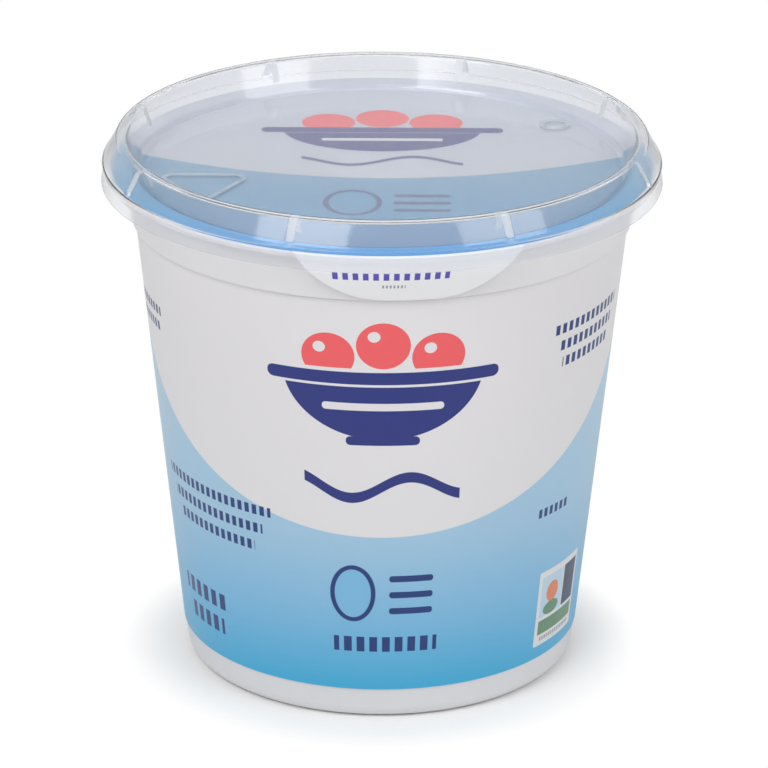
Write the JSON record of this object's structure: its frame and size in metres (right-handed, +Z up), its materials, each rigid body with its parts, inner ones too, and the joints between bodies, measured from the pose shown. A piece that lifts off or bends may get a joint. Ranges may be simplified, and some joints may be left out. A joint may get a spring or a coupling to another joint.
{
  "type": "yogurt pot",
  "caption": "Large tapered white yogurt pot with a printed sleeve, a peel-off seal with a folded pull tab, and a clear push-on lid with a sunken panel and ribbed rim.",
  "frame": {"origin": "centre of the base, on the surface the pot stands on", "axes": "+Z up along the pot's axis, -Y towards the front with the pull tab, +X to the right seen from the front"},
  "size_m": [0.1274, 0.1274, 0.1252],
  "materials": {
    "tub": "satin white moulded plastic",
    "sleeve": "satin printed film, white field over sky blue",
    "seal": "satin printed lidding film",
    "lid": "clear thermoformed plastic, glossy"
  },
  "bodies": {
    "root": {"tub": "tub", "sleeve": "sleeve", "seal": "seal", "lid": "lid"}
  },
  "joints": []
}
